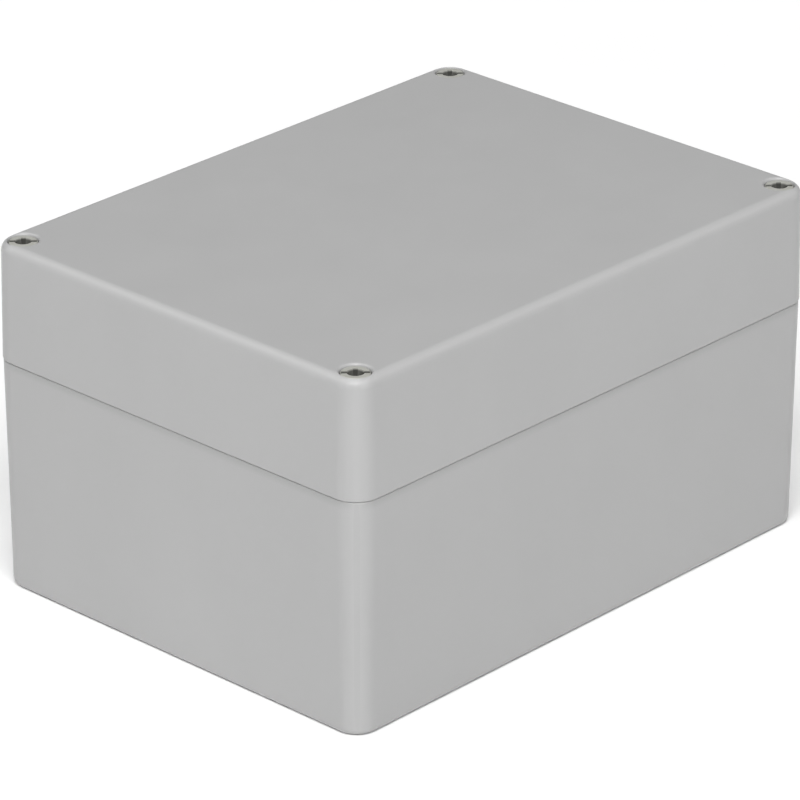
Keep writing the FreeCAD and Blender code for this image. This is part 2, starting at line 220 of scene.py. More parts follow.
def tidy_normals(piece: Piece) -> None:
    """Merge doubles, then turn every face outwards.

    Args:
        piece: The object.
    """
    with editing(piece):
        bpy.ops.mesh.remove_doubles(threshold=WELD)
        bpy.ops.mesh.normals_make_consistent(inside=False)


def settle(piece: Piece, shift: Vector = Vector(), turn: float = 0.0) -> None:
    """Move and turn a piece about the Z axis, and keep its object at the origin.

    Args:
        piece: The object.
        shift: How far it moves, in metres.
        turn: How far it turns first, in radians.
    """
    activate(piece)
    piece.matrix_world = Matrix.Translation(shift) @ Matrix.Rotation(turn, 4, "Z") @ piece.matrix_world
    bpy.ops.object.transform_apply(location=True, rotation=True, scale=True)


def primitive(name: str, operator: Callable[..., set[str]], **settings: object) -> Piece:
    """Add a primitive with nothing else selected.

    Args:
        name: The name for the object and its mesh.
        operator: The operator that adds it.
        settings: The operator's own values.

    Returns:
        The piece, with its object at the origin.
    """
    deselect()
    operator(**settings)
    piece = bpy.context.object
    piece.name = piece.data.name = name
    settle(piece)
    return piece


def copy_of(piece: Piece, name: str) -> Piece:
    """Copy a piece under a new name, with a mesh of its own and no body or parent."""
    return stand(name, piece.data.copy(), Matrix())


def cleaned(node: str, name: str) -> Piece:
    """Copy a CAD node, merge its triangles and dissolve its flats.

    Args:
        node: The CAD node.
        name: The copy's name.

    Returns:
        The copy.
    """
    piece = copy_of(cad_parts[node], name)
    with editing(piece):
        bpy.ops.mesh.remove_doubles(threshold=NODE_WELD)
        bpy.ops.mesh.dissolve_limited(angle_limit=FLAT_ANGLE, use_dissolve_boundaries=False)
    return piece


def smooth(piece: Piece, angle: float) -> None:
    """Shade a piece smooth across edges flatter than an angle, with its large faces kept flat.

    Args:
        piece: The object.
        angle: The angle in degrees.
    """
    activate(piece)
    bpy.ops.object.shade_smooth_by_angle(angle=math.radians(angle))
    apply_modifier(piece, "WEIGHTED_NORMAL", keep_sharp=True, weight=100)


def turned(name: str, profile: Profile, segments: int) -> Piece:
    """Turn a solid about the Z axis from a closed profile of steps.

    Args:
        name: The piece's name.
        profile: Radius and height of each step in millimetres, from one end to the other.
        segments: How many faces go round.

    Returns:
        The solid, closed at both ends.
    """
    radius, height = profile[0]
    piece = primitive(name, bpy.ops.mesh.primitive_circle_add, vertices=segments, radius=radius * MM,
                      fill_type="NGON", location=(0, 0, height * MM))
    with editing(piece):
        for next_radius, next_height in profile[1:]:
            rise = (0, 0, (next_height - height) * MM)
            bpy.ops.mesh.extrude_region_move(TRANSFORM_OT_translate={"value": rise})
            scale = next_radius / radius
            bpy.ops.transform.resize(value=(scale, scale, 1), center_override=(0, 0, next_height * MM))
            radius, height = next_radius, next_height
    tidy_normals(piece)
    return piece


@dataclass(frozen=True)
class Thread:
    """A screw thread: a core with one ridge wound round it."""

    root: float  # Core radius
    crest: float  # Ridge radius
    pitch: float  # Rise in one turn
    low: float  # Height of the lower end
    high: float  # Height of the upper end
    segments: int = 28  # Faces in one turn
    chamfer: float = 0.0  # Chamfer of the core below the lower end

    def ridge(self, name: str) -> Piece:
        """Wind the ridge.

        Args:
            name: The piece's name.

        Returns:
            The ridge as a closed solid.
        """
        flank, flat, sunk = 0.84, 0.16, 0.06
        turns = math.floor((self.high - self.low) / self.pitch) - 1
        foot, crest = (self.root - sunk) * MM, self.crest * MM
        side = self.pitch * flank * MM
        start = (self.low + self.pitch / 2) * MM
        piece = primitive(name, bpy.ops.mesh.primitive_plane_add, size=side, rotation=(QUARTER_TURN, 0, 0),
                          location=(foot + side / 2, 0, start))
        with editing(piece):
            pick(piece, Mode.EDGES, lambda at, way: at.x > foot + side * 0.9)
            bpy.ops.transform.translate(value=(crest - foot - side, 0, 0))
            bpy.ops.transform.resize(value=(1, 1, flat / flank), center_override=(crest, 0, start))
        apply_modifier(piece, "SCREW", axis="Z", angle=FULL_TURN, screw_offset=self.pitch * MM, iterations=turns,
                       steps=self.segments, render_steps=self.segments, use_merge_vertices=True,
                       merge_threshold=WELD / 2)
        with editing(piece):
            bpy.ops.mesh.fill_holes(sides=4)
        tidy_normals(piece)
        return piece

    def build(self, name: str) -> Piece:
        """Make the threaded rod.

        Args:
            name: The piece's name.

        Returns:
            One closed solid.
        """
        profile = [(self.root, self.low), (self.root, self.high)]
        if self.chamfer:
            profile.insert(0, (self.root - self.chamfer, self.low - self.chamfer))
        rod = turned(name, profile, self.segments)
        combine(rod, self.ridge(f"{name}_ridge"), Cut.JOIN)
        return rod


# Effects shared by the materials


class Nodes:
    """Adds nodes to one tree and joins them up."""

    def __init__(self, tree: bpy.types.NodeTree) -> None:
        """Take the tree that the nodes go into."""
        self.tree = tree

    def feed(self, socket: Socket, value: object) -> None:
        """Set an input, or link it if the value is an output socket."""
        if isinstance(value, Socket):
            self.tree.links.new(value, socket)
        else:
            socket.default_value = value

    def add(self, kind: str, settings: dict[str, object] | None = None, **sockets: object) -> bpy.types.Node:
        """Add a node.

        Args:
            kind: The node's type, without its ShaderNode start.
            settings: Its own properties.
            sockets: Values or output sockets for its inputs, by name with _ for a space.

        Returns:
            The node.
        """
        node = self.tree.nodes.new(f"ShaderNode{kind}")
        for key, value in (settings or {}).items():
            setattr(node, key, value)
        for key, value in sockets.items():
            self.feed(node.inputs[key.replace("_", " ")], value)
        return node

    def work(self, kind: str, settings: dict[str, object], *items: object) -> Sockets:
        """Add a node and set or link its inputs in their own order.

        Args:
            kind: The node's type, without its ShaderNode start.
            settings: Its own properties.
            items: Values or output sockets for its first inputs.

        Returns:
            Its outputs.
        """
        node = self.add(kind, settings)
        for socket, item in zip(node.inputs, items):
            self.feed(socket, item)
        return node.outputs

    def math(self, operation: str, first: object, second: object = 0.0) -> Socket:
        """Work out one number.

        Args:
            operation: The Math node's operation.
            first: A number or an output socket.
            second: A number or an output socket.

        Returns:
            The result's socket.
        """
        return self.work("Math", {"operation": operation}, first, second)[0]

    def remap(self, value: object, low: object, high: object, to_low: float = 0.0, to_high: float = 1.0) -> Socket:
        """Carry a range of numbers over to another.

        Args:
            value: The number or output socket.
            low: Start of the range that comes in.
            high: End of the range that comes in.
            to_low: What the start becomes.
            to_high: What the end becomes.

        Returns:
            The result's socket.
        """
        return self.work("MapRange", {"clamp": True}, value, low, high, to_low, to_high)["Result"]

    def around(self, share: Socket, middle: float, spread: float) -> Socket:
        """Carry a share from 0 to 1 over to a middle value with a spread to both sides."""
        return self.remap(share, 0.0, 1.0, middle - spread, middle + spread)

    def mix(self, factor: object, first: object, second: object) -> Socket:
        """Mix two colours.

        Args:
            factor: Share of the second one.
            first: A colour or an output socket.
            second: A colour or an output socket.

        Returns:
            The mixed colour's socket.
        """
        node = self.add("Mix", {"data_type": "RGBA"})
        sockets = {socket.identifier: socket for socket in (*node.inputs, *node.outputs)}
        for name, item in (("Factor_Float", factor), ("A_Color", first), ("B_Color", second)):
            self.feed(sockets[name], item)
        return sockets["Result_Color"]

    def noise(self, vector: object, scale: object, detail: float, roughness: float = 0.5) -> Socket:
        """Make smooth noise between 0 and 1, with a scale in waves to the metre and finer layers as detail."""
        return self.add("TexNoise", None, Vector=vector, Scale=scale, Detail=detail, Roughness=roughness).outputs[0]

    def here(self) -> Socket:
        """Give the place on the piece, in metres."""
        return self.add("TexCoord").outputs["Object"]

    def shares(self, vector: object) -> Sockets:
        """Split a vector into its X, Y and Z."""
        return self.add("SeparateXYZ", None, Vector=vector).outputs

    def round_axis(self, given: Sockets) -> tuple[Socket, Socket]:
        """Measure where a point lies round an axis that stands along Z.

        Args:
            given: The group's inputs, with the axis's Centre X and Centre Y.

        Returns:
            The distance from the axis, and the height.
        """
        place = self.shares(self.here())
        across = [self.math("SUBTRACT", place[axis], given[f"Centre {axis}"]) for axis in "XY"]
        squares = [self.math("MULTIPLY", item, item) for item in across]
        return self.math("SQRT", self.math("ADD", *squares)), place["Z"]


class Effect:
    """A node group with named inputs and outputs, built once and used by many materials."""

    name = "effect"
    inputs: dict[str, float] = {}
    outputs: tuple[str, ...] = ("Mask",)

    def group(self) -> bpy.types.NodeTree:
        """Find the group, or build it the first time.

        Returns:
            The node group.
        """
        found = bpy.data.node_groups.get(self.name)
        if found:
            return found
        tree = bpy.data.node_groups.new(self.name, "ShaderNodeTree")
        for name, value in self.inputs.items():
            tree.interface.new_socket(name, in_out="INPUT", socket_type="NodeSocketFloat").default_value = value
        for name in self.outputs:
            tree.interface.new_socket(name, in_out="OUTPUT", socket_type="NodeSocketFloat")
        start = tree.nodes.new("NodeGroupInput")
        end = tree.nodes.new("NodeGroupOutput")
        for name, socket in self.make(Nodes(tree), start.outputs).items():
            tree.links.new(socket, end.inputs[name])
        return tree

    def make(self, nodes: Nodes, given: Sockets) -> Results:
        """Build the inside of the group."""
        raise NotImplementedError

    def place(self, nodes: Nodes, **sockets: object) -> Sockets:
        """Put the effect into a material, with values or sockets for its inputs, and give its outputs."""
        return nodes.add("Group", {"node_tree": self.group()}, **sockets).outputs


class MouldGrain(Effect):
    """The fine pitted texture that a sparked steel mould leaves on plastic."""

    name = "mould_grain"
    inputs = {"Grain Size": 0.0003, "Relief": 1.0}
    outputs = ("Height", "Pits")
    cell_softness = 0.6
    fineness = 2.3
    cell_share = 0.7
    fine_share = 0.5
    pit_range = (0.35, 0.65)

    def make(self, nodes: Nodes, given: Sockets) -> Results:
        """Layer fine noise over rounded cells."""
        place = nodes.here()
        scale = nodes.math("DIVIDE", 1.0, given["Grain Size"])
        cells = nodes.add("TexVoronoi", {"feature": "SMOOTH_F1"}, Vector=place, Scale=scale,
                          Smoothness=self.cell_softness).outputs["Distance"]
        fine = nodes.noise(place, nodes.math("MULTIPLY", scale, self.fineness), 3.0, 0.6)
        height = nodes.math("ADD", nodes.math("MULTIPLY", cells, self.cell_share),
                            nodes.math("MULTIPLY", fine, self.fine_share))
        return {"Height": nodes.math("MULTIPLY", height, given["Relief"]), "Pits": nodes.remap(fine, *self.pit_range)}


class Mottle(Effect):
    """Broad, faint differences of tone and gloss, as in any moulded or turned surface."""

    name = "mottle"
    inputs = {"Patch Size": 0.03, "Streak": 1.0}
    outputs = ("Tone", "Gloss")
    fineness = 5.3

    def make(self, nodes: Nodes, given: Sockets) -> Results:
        """Read noise at two sizes, drawn out along the flow of the plastic."""
        streak = nodes.add("CombineXYZ", None, X=1.0, Y=1.0, Z=given["Streak"]).outputs[0]
        drawn = nodes.work("VectorMath", {"operation": "MULTIPLY"}, nodes.here(), streak)[0]
        scale = nodes.math("DIVIDE", 1.0, given["Patch Size"])
        broad = nodes.noise(drawn, scale, 2.0)
        small = nodes.noise(drawn, nodes.math("MULTIPLY", scale, self.fineness), 4.0)
        return {"Tone": nodes.remap(broad, *NOISE_RANGE), "Gloss": nodes.remap(small, *NOISE_RANGE)}


class EdgeWear(Effect):
    """Where an outer edge is rubbed, broken up by noise."""

    name = "edge_wear"
    inputs = {"Width": 0.0006, "Break Size": 0.002}
    fullest = 0.85
    faintest = 0.999
    gap_range = (0.35, 0.6)

    def make(self, nodes: Nodes, given: Sockets) -> Results:
        """Compare the surface's own normal with one that is rounded over the edges."""
        rounded = nodes.add("Bevel", {"samples": 4}, Radius=given["Width"]).outputs[0]
        normal = nodes.add("NewGeometry").outputs["Normal"]
        likeness = nodes.work("VectorMath", {"operation": "DOT_PRODUCT"}, rounded, normal)["Value"]
        edge = nodes.remap(likeness, self.fullest, self.faintest, 1.0, 0.0)
        rub = nodes.noise(nodes.here(), nodes.math("DIVIDE", 1.0, given["Break Size"]), 3.0)
        return {"Mask": nodes.math("MULTIPLY", edge, nodes.remap(rub, *self.gap_range))}


class ToolMarks(Effect):
    """Fine rings that a cutting tool leaves round an axis that stands along Z."""

    name = "tool_marks"
    inputs = {"Centre X": 0.0, "Centre Y": 0.0, "Feed": 0.0001}
    outputs = ("Height", "Rings")
    unevenness = 0.37

    def make(self, nodes: Nodes, given: Sockets) -> Results:
        """Turn the distance from the axis, and the height, into fine uneven waves."""
        path = nodes.math("DIVIDE", nodes.math("ADD", *nodes.round_axis(given)), given["Feed"])
        wander = nodes.add("TexNoise", {"noise_dimensions": "1D"}, W=path, Scale=self.unevenness,
                           Detail=2.0).outputs[0]
        wave = nodes.math("SINE", nodes.math("MULTIPLY", path, FULL_TURN))
        return {"Height": nodes.math("MULTIPLY", wave, wander), "Rings": nodes.remap(wander, *NOISE_RANGE)}


class SeamShade(Effect):
    """Painted shade on the base just under the lid's edge."""

    name = "seam_shade"
    inputs = {"Seam Height": 0.06, "Depth": 0.0015}
    waves_in_metre = 160.0
    lightest = 0.85

    def make(self, nodes: Nodes, given: Sockets) -> Results:
        """Fade the painted shade downwards from the seam and leave everything above it unshaded."""
        place = nodes.here()
        below = nodes.math("SUBTRACT", given["Seam Height"], nodes.shares(place)["Z"])
        share = nodes.math("DIVIDE", below, given["Depth"])
        fade = nodes.math("MULTIPLY", nodes.remap(share, 0.0, 1.0, 1.0, 0.0), nodes.math("GREATER_THAN", share, 0.0))
        wander = nodes.noise(place, self.waves_in_metre, 3.0)
        return {"Mask": nodes.math("MULTIPLY", fade, nodes.remap(wander, *NOISE_RANGE, self.lightest, 1.0))}


class PaleRounds(Effect):
    """Painted highlight on the rounds where the surface turns from one wall into the next."""

    name = "pale_rounds"
    inputs = {"Turned": 0.76, "Flat": 0.985}

    def make(self, nodes: Nodes, given: Sockets) -> Results:
        """Measure how closely the surface faces along X, Y or Z."""
        normal = nodes.shares(nodes.add("NewGeometry").outputs["Normal"])
        sides = [nodes.math("ABSOLUTE", normal[axis]) for axis in "XYZ"]
        most = nodes.math("MAXIMUM", nodes.math("MAXIMUM", sides[0], sides[1]), sides[2])
        return {"Mask": nodes.remap(most, given["Turned"], given["Flat"], 1.0, 0.0)}


class RecessStain(Effect):
    """Painted shade that darkens the recess in a screw's head, more so with depth."""

    name = "recess_stain"
    inputs = {"Centre X": 0.0, "Centre Y": 0.0, "Radius": 0.003, "Face Height": 0.09, "Depth": 0.001,
              "Reach": 0.002}

    def make(self, nodes: Nodes, given: Sockets) -> Results:
        """Deepen with the distance under the head's face, inside a radius and above the recess's bottom."""
        radius, height = nodes.round_axis(given)
        below = nodes.math("SUBTRACT", given["Face Height"], height)
        inside = nodes.math("MULTIPLY", nodes.math("LESS_THAN", radius, given["Radius"]),
                            nodes.math("LESS_THAN", below, given["Reach"]))
        depth = nodes.remap(nodes.math("DIVIDE", below, given["Depth"]), 0.0, 1.0)
        return {"Mask": nodes.math("MULTIPLY", depth, inside)}


# Finishes


@dataclass(frozen=True)
class Finish:
    """A material of one Principled shader."""

    name: str

    def look(self, nodes: Nodes) -> dict[str, object]:
        """Say what goes into the shader, by the names of its sockets."""
        raise NotImplementedError

    def material(self) -> bpy.types.Material:
        """Find the material, or make it the first time.

        Returns:
            The material.
        """
        found = bpy.data.materials.get(self.name)
        if found:
            return found
        made = bpy.data.materials.new(self.name)
        made.use_nodes = True
        nodes = Nodes(made.node_tree)
        shader = made.node_tree.nodes["Principled BSDF"]
        for socket, value in self.look(nodes).items():
            nodes.feed(shader.inputs[socket], value)
        return made


@dataclass(frozen=True)
class MouldedPlastic(Finish):
    """Light-grey plastic as it comes from the mould."""

    colour: Colour
    grain_size: float
    relief: float  # Depth of the grain
    roughness: float  # Middle roughness
    wear: float  # How much lighter a rubbed edge is
    reflection: float  # Strength of the mirror-like part of its reflection
    seam_shade: float = 0.0  # How much painted shade darkens the base just under the seam
    seam_depth: float = 2.2  # How far down that shade reaches
    pale_rounds: float = 0.0  # How much the painted highlight lightens the rounds between the walls
    tone_spread: float = 0.015  # How much the mottle lightens and darkens the colour
    pit_level: float = 0.955
    pit_share: float = 0.35  # How much of the pits' level shows
    gloss_spread: float = 0.04  # How much the mottle changes the roughness
    polish: float = 0.1  # How much smoother a rubbed edge is
    patch: float = 28.0  # Size of the mottle's patches
    rub_width: float = 0.5
    rub_gap: float = 1.6  # Size of the gaps in the rubbed edges

    def look(self, nodes: Nodes) -> dict[str, object]:
        """Say what goes into the shader."""
        grain = MouldGrain().place(nodes, Grain_Size=self.grain_size * MM)
        mottle = Mottle().place(nodes, Patch_Size=self.patch * MM, Streak=0.6)
        worn = EdgeWear().place(nodes, Width=self.rub_width * MM, Break_Size=self.rub_gap * MM)
        body = nodes.mix(mottle["Tone"], scaled(self.colour, 1 - self.tone_spread),
                         scaled(self.colour, 1 + self.tone_spread))
        pits = nodes.math("MULTIPLY", grain["Pits"], self.pit_share)
        body = nodes.mix(pits, body, scaled(self.colour, self.pit_level))
        body = nodes.mix(worn["Mask"], body, scaled(self.colour, 1 + self.wear))
        # Painted shade: the base darkens towards black just under the seam
        if self.seam_shade:
            shade = SeamShade().place(nodes, Seam_Height=SEAM * MM, Depth=self.seam_depth * MM)
            body = nodes.mix(nodes.math("MULTIPLY", shade["Mask"], self.seam_shade), body, grey(0.0))
        # Painted highlight: the rounds between the walls are lighter than the flat walls
        if self.pale_rounds:
            body = nodes.mix(PaleRounds().place(nodes)["Mask"], body, scaled(self.colour, 1 + self.pale_rounds))
        rough = nodes.around(mottle["Gloss"], self.roughness, self.gloss_spread)
        rough = nodes.math("SUBTRACT", rough, nodes.math("MULTIPLY", worn["Mask"], self.polish))
        bump = nodes.add("Bump", None, Height=grain["Height"], Strength=0.6, Distance=self.relief * MM)
        return {"Base Color": body, "Roughness": rough, "IOR": 1.53,
                "Specular IOR Level": self.reflection, "Normal": bump.outputs[0]}


@dataclass(frozen=True)
class TurnedMetal(Finish):
    """Metal turned on a lathe about one corner's screw axis."""

    colour: Colour
    stain: Colour  # Colour of its dull patches
    roughness: float  # Middle roughness
    feed: float  # Spacing of the tool marks
    axis: tuple[float, float]  # Where the axis stands, in metres
    metallic: float = 1.0  # How far it shines like bare metal; a dull plating shines less
    stain_share: float = 0.6  # How much of the stain shows
    wear: float = 0.35  # How much lighter a rubbed edge is
    ring_spread: float = 0.08  # How much the tool marks change the roughness
    gloss_spread: float = 0.06  # How much the mottle adds to the roughness
    relief: float = 0.004  # Depth of the tool marks
    patch: float = 2.2  # Size of the mottle's patches
    rub_width: float = 0.15
    rub_gap: float = 0.6  # Size of the gaps in the rubbed edges

    def stained(self, nodes: Nodes, body: Socket) -> Socket:
        """Paint no shade into a recess."""
        return body

    def look(self, nodes: Nodes) -> dict[str, object]:
        """Say what goes into the shader."""
        marks = ToolMarks().place(nodes, Centre_X=self.axis[0], Centre_Y=self.axis[1], Feed=self.feed * MM)
        mottle = Mottle().place(nodes, Patch_Size=self.patch * MM, Streak=1.0)
        worn = EdgeWear().place(nodes, Width=self.rub_width * MM, Break_Size=self.rub_gap * MM)
        body = nodes.mix(nodes.math("MULTIPLY", mottle["Tone"], self.stain_share), self.colour, self.stain)
        # The screws add painted shade to their recess here
        body = self.stained(nodes, nodes.mix(worn["Mask"], body, scaled(self.colour, 1 + self.wear)))
        rough = nodes.around(marks["Rings"], self.roughness, self.ring_spread)
        rough = nodes.math("ADD", rough, nodes.math("MULTIPLY", mottle["Gloss"], self.gloss_spread))
        bump = nodes.add("Bump", None, Height=marks["Height"], Strength=0.35, Distance=self.relief * MM)
        return {"Base Color": body, "Roughness": rough, "Metallic": self.metallic, "Normal": bump.outputs[0]}


@dataclass(frozen=True)
class ScrewSteel(TurnedMetal):
    """The dull steel of a lid screw, with painted shade inside its recess."""

    face: float = 89.6  # Height of the head's face
    recess_radius: float = 3.3  # How far the painted shade reaches from the axis
    recess_depth: float = 0.45  # Depth at which the painted shade is full
    recess_reach: float = 2.2  # Depth of the whole recess
    recess_colour: Colour = grey(0.08, 0.1)  # Colour of the full painted shade

    def stained(self, nodes: Nodes, body: Socket) -> Socket:
        """Paint shade into the recess."""
        stain = RecessStain().place(nodes, Centre_X=self.axis[0], Centre_Y=self.axis[1],
                                    Radius=self.recess_radius * MM, Face_Height=self.face * MM,
                                    Depth=self.recess_depth * MM, Reach=self.recess_reach * MM)
        return nodes.mix(stain["Mask"], body, self.recess_colour)


@dataclass(frozen=True)
class Rubber(Finish):
    """Soft matt rubber or foam."""

    level: float  # How light it is
    pore: float
    relief: float
    roughness: float  # Middle roughness

    def look(self, nodes: Nodes) -> dict[str, object]:
        """Say what goes into the shader."""
        grain = MouldGrain().place(nodes, Grain_Size=self.pore * MM)
        mottle = Mottle().place(nodes, Patch_Size=9 * MM, Streak=1.0)
        bloom = grey(self.level * 1.5 + 0.01)
        body = nodes.mix(nodes.math("MULTIPLY", mottle["Tone"], grain["Pits"]), grey(self.level), bloom)
        rough = nodes.remap(mottle["Gloss"], 0.0, 1.0, self.roughness - 0.08, self.roughness + 0.06)
        bump = nodes.add("Bump", None, Height=grain["Height"], Strength=0.7, Distance=self.relief * MM)
        return {"Base Color": body, "Roughness": rough, "Sheen Weight": 0.08, "Normal": bump.outputs[0]}


@dataclass(frozen=True)
class PaleFloor(Finish):
    """A pale studio floor that glows a little, more so far away."""

    low: float = 0.9  # Level of its darker patches
    high: float = 0.92  # Level of its lighter patches
    near_glow: float = 0.04  # How much light it adds of its own round the box
    far_glow: float = 0.25  # How much it adds far away
    near: float = 0.2  # Distance from the middle up to which the near glow is full, in metres
    far: float = 0.8  # Distance from which the far glow is full, in metres

    def look(self, nodes: Nodes) -> dict[str, object]:
        """Say what goes into the shader."""
        mottle = Mottle().place(nodes, Patch_Size=0.4)
        away = nodes.work("VectorMath", {"operation": "LENGTH"}, nodes.here())["Value"]
        far = nodes.remap(away, self.near, self.far)
        return {"Base Color": nodes.mix(mottle["Tone"], grey(self.low), grey(self.high)),
                "Roughness": nodes.remap(mottle["Gloss"], 0.0, 1.0, 0.8, 0.9),
                "Emission Color": nodes.mix(far, grey(self.near_glow), grey(self.far_glow)),
                "Emission Strength": 1.0}


def dress(piece: Piece, *finishes: Finish) -> None:
    """Give a piece its materials, one for each slot.

    Args:
        piece: The object.
        finishes: The finishes in slot order.
    """
    piece.data.materials.clear()
    for finish in finishes:
        piece.data.materials.append(finish.material())


# The outside carries painted shade under the seam and a painted highlight on its rounds
OUTSIDE_GREY = MouldedPlastic("abs_textured_outside", grey(0.405), grain_size=0.32, relief=0.02, roughness=0.36,
                              wear=0.05, reflection=0.3, seam_shade=0.18, pale_rounds=0.038)
INSIDE_GREY = MouldedPlastic("abs_smooth_inside", grey(0.405), grain_size=0.9, relief=0.004, roughness=0.34,
                             wear=0.04, reflection=0.4)
SEAL_BLACK = Rubber("foam_seal", 0.035, pore=0.35, relief=0.05, roughness=0.85)
RING_BLACK = Rubber("ring_rubber", 0.022, pore=0.12, relief=0.01, roughness=0.55)


# The enclosure


@dataclass(frozen=True)
class Handed:
    """How a finished piece stands in the frame."""

    piece: Piece
    body: str  # The body that carries it
    slot: str  # The record's material slot
    node: str  # The CAD node that it stands for

    def place(self) -> None:
        """Tie the piece to its body, hide the CAD node that it stands for, and log it."""
        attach(self.piece, self.body)
        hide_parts(self.node)
        LOG.info("%s rides on %s, %d faces", self.piece.name, self.body, len(self.piece.data.polygons))


@dataclass
class Moulding:
    """What the base and the lid share: a copy of the solid, cleaned, marked by its mould and dressed."""

    node: str = ""  # The CAD node, which has its body's name
    inner_face: float = 0.0  # Height of the face that the ejector pins pushed on
    inner_side: int = 1  # 1 if that face looks up, or -1 if it looks down
    half_length: float = 80.0
    half_width: float = 60.0
    skin: float = 2.3  # How deep below the outer faces the textured side reaches
    # The places of the ejector pins in one quarter, and in the others by symmetry
    pins: tuple[tuple[float, float], ...] = ()
    pin_radius: float = 3.0
    pin_depth: float = 0.12
    turn_angle: float = 30.0  # Angle in degrees past which an edge stays sharp

    def mark_pins(self, piece: Piece) -> None:
        """Sink the round marks of the ejector pins.

        Args:
            piece: The moulding.
        """
        low, high = sorted((self.inner_face - self.inner_side * self.pin_depth, self.inner_face + self.inner_side))
        for reach, side in self.pins:
            for x, y in product((reach, -reach), (side, -side)):
                pin = turned("ejector_pin", [(self.pin_radius, low), (self.pin_radius, high)], 48)
                settle(pin, Vector((x, y, 0)) * MM)
                combine(piece, pin)

    def near_wall(self, at: Vector, normal: Vector) -> bool:
        """Say whether a face lies near the box's side faces and looks away from the middle."""
        return any(half - abs(at[axis]) < self.skin and at[axis] * normal[axis] > 0.01
                   for axis, half in enumerate((self.half_length, self.half_width)))

    def is_outside(self, at: Vector, normal: Vector) -> bool:
        """Say whether a face belongs to the textured outside."""
        raise NotImplementedError

    def carve(self, piece: Piece) -> None:
        """Leave the solid as it is."""

    def build(self) -> list[Handed]:
        """Build the moulding, with its textured outside and its smooth inside.

        Returns:
            The one piece, ready to be placed.
        """
        piece = cleaned(self.node, f"{self.node}_moulding")
        self.mark_pins(piece)
        self.carve(piece)
        dress(piece, OUTSIDE_GREY, INSIDE_GREY)
        for face in piece.data.polygons:
            face.material_index = 0 if self.is_outside(face.center / MM, face.normal) else 1
        smooth(piece, self.turn_angle)
        return [Handed(piece, self.node, "abs_light_grey", self.node)]


@dataclass
class Base(Moulding):
    """The base moulding."""

    node: str = "base"
    inner_face: float = 3.5
    pins: tuple[tuple[float, float], ...] = ((62, 18), (22, 32))
    gate_radius: float = 3.2  # Radius of the dimple where the plastic came in
    gate_depth: float = 0.5  # Depth of that dimple
    nub_radius: float = 0.9  # Radius of the snapped-off stub in it
    nub_height: float = 0.35  # Height of that stub
    bottom_band: float = 1.8  # How far up the underside's faces reach

    def carve(self, piece: Piece) -> None:
        """Sink the gate's shallow dimple into the underside, with the stub standing in its middle.

        Args:
            piece: The moulding.
        """
        disc = turned("gate_dimple", [(self.gate_radius, -1.0), (self.gate_radius, self.gate_depth * 0.6),
                                      (self.gate_radius - 0.4, self.gate_depth)], 48)
        top = self.gate_depth - self.nub_height
        stub = turned("gate_stub", [(self.nub_radius, self.gate_depth + 0.2), (self.nub_radius, top + 0.1),
                                    (self.nub_radius * 0.7, top)], 20)
        combine(disc, stub)
        combine(piece, disc)

    def is_outside(self, at: Vector, normal: Vector) -> bool:
        """Say whether a face belongs to the textured outside."""
        return at.z < self.bottom_band or (at.z <= SEAM and self.near_wall(at, normal))


@dataclass
class Lid(Moulding):
    """The lid moulding."""

    node: str = "lid"
    inner_face: float = 86.5
    inner_side: int = -1
    pins: tuple[tuple[float, float], ...] = ((62, 18), (22, 30))
    top: float = 90.0
    top_band: float = 3.4  # How far down the top's faces reach

    def is_outside(self, at: Vector, normal: Vector) -> bool:
        """Say whether a face belongs to the textured outside."""
        crown = at.z > self.top - self.top_band and normal.z > 0.02
        return crown or self.near_wall(at, normal)


@dataclass
class Seal:
    """The foam cord in the lid's groove, rounded where the base's tongue presses it."""

    low: float = 63.0
    high: float = 64.6
    lower_round: float = 0.55
    upper_round: float = 0.25

    def build(self) -> list[Handed]:
        """Build the seal.

        Returns:
            The one piece, ready to be placed.
        """
        piece = cleaned("gasket", "foam_seal")
        with editing(piece):
            for height, size in ((self.low, self.lower_round), (self.high, self.upper_round)):
                bpy.ops.mesh.select_mode(type="EDGE")
                pick(piece, Mode.FACES, lambda at, normal: abs(at.z - height * MM) < WELD and abs(normal.z) > FACING)
                bpy.ops.mesh.region_to_loop()
                bpy.ops.mesh.bevel(offset=size * MM, segments=4, affect="EDGES")
        smooth(piece, 50)
        dress(piece, SEAL_BLACK)
        return [Handed(piece, "lid", "seal_foam", "gasket")]


@dataclass
class CornerParts:
    """Something that stands on all four screw axes, modelled once and copied to each corner."""

    axis_x: float = 74.0  # Distance of the axes from the middle along X
    axis_y: float = 54.0  # Distance of the axes from the middle along Y
    body: str = ""  # The body that carries it, with {} for the corner
    slot: str = ""  # The record's material slot
    node: str = ""  # The CAD node that it stands for, with {} for the corner

    def place(self, corner: Corner) -> Vector:
        """Give a corner's screw axis in metres."""
        return Vector((corner.value[0] * self.axis_x, corner.value[1] * self.axis_y, 0)) * MM

    def model(self) -> Piece:
        """Build one of them on the Z axis."""
        raise NotImplementedError

    def finish(self, corner: Corner) -> Finish:
        """Choose the finish for one corner."""
        raise NotImplementedError

    def build(self) -> list[Handed]:
        """Build the model and its four copies.

        Returns:
            One piece for each corner.
        """
        model = self.model()
        made = []
        for corner in Corner:
            piece = copy_of(model, f"{model.name}_{corner.tag}")
            settle(piece, self.place(corner))
            dress(piece, self.finish(corner))
            made.append(Handed(piece, self.body.format(corner.tag), self.slot, self.node.format(corner.tag)))
        discard(model)
        return made


